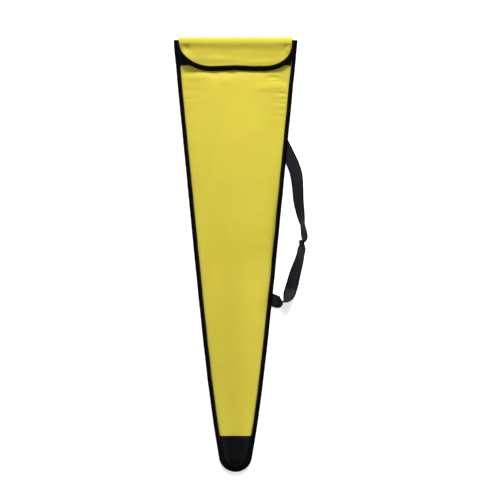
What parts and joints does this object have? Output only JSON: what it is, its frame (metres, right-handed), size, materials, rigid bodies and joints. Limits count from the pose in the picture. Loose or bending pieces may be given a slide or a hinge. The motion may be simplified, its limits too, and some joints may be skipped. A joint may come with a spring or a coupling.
{
  "type": "tapered carry bag",
  "caption": "Long flat tapered carry bag of coated cloth with bound edges, a folding top flap, a black toe and a webbing strap at one side.",
  "frame": {"origin": "on the flat of the back panel, on the bag's middle line, half way between the top fold and the toe", "axes": "+X to the bag's right seen from the front, +Y along the bag towards the flap, +Z out of the front panel; the bag lies on its back"},
  "size_m": [0.3234, 1.05, 0.0371],
  "materials": {
    "yellow_coated_cloth": "coated polyester, satin",
    "black_coated_cloth": "coated polyester, satin",
    "black_binding_tape": "woven polyester tape, matt",
    "charcoal_webbing": "woven polypropylene, satin",
    "black_hook_and_loop": "nylon hook and loop, matt",
    "black_thread": "spun polyester thread"
  },
  "bodies": {
    "bag": {"back_panel": "yellow_coated_cloth", "front_panel": "yellow_coated_cloth", "back_toe": "black_coated_cloth", "front_toe": "black_coated_cloth", "edge_binding": "black_binding_tape", "binding_stitching": "black_thread", "mouth_band": "charcoal_webbing", "mouth_stitching": "black_thread", "loop_tape": "black_hook_and_loop", "toe_stitching": "black_thread", "upper_backing_patch": "yellow_coated_cloth", "lower_backing_patch": "yellow_coated_cloth", "strap_upper_end": "charcoal_webbing", "strap_lower_end": "charcoal_webbing", "upper_end_stitching": "black_thread", "lower_end_stitching": "black_thread"},
    "flap": {"flap_panel": "yellow_coated_cloth", "flap_binding": "black_binding_tape", "flap_stitching": "black_thread", "hook_tape": "black_hook_and_loop"},
    "strap": {"strap_webbing": "charcoal_webbing"}
  },
  "joints": [
    {"name": "flap_hinge", "type": "hinge", "parent": "bag", "child": "flap", "pos_m": [0, 0.5253, 0.008], "axis": [-1, 0, 0], "range_deg": [0, 170]},
    {"name": "strap_swing", "type": "hinge", "parent": "bag", "child": "strap", "pos_m": [0.12549, 0.24482, 0.0021], "axis": [-0.0983, -0.9952, 0], "range_deg": [0, 65]}
  ]
}
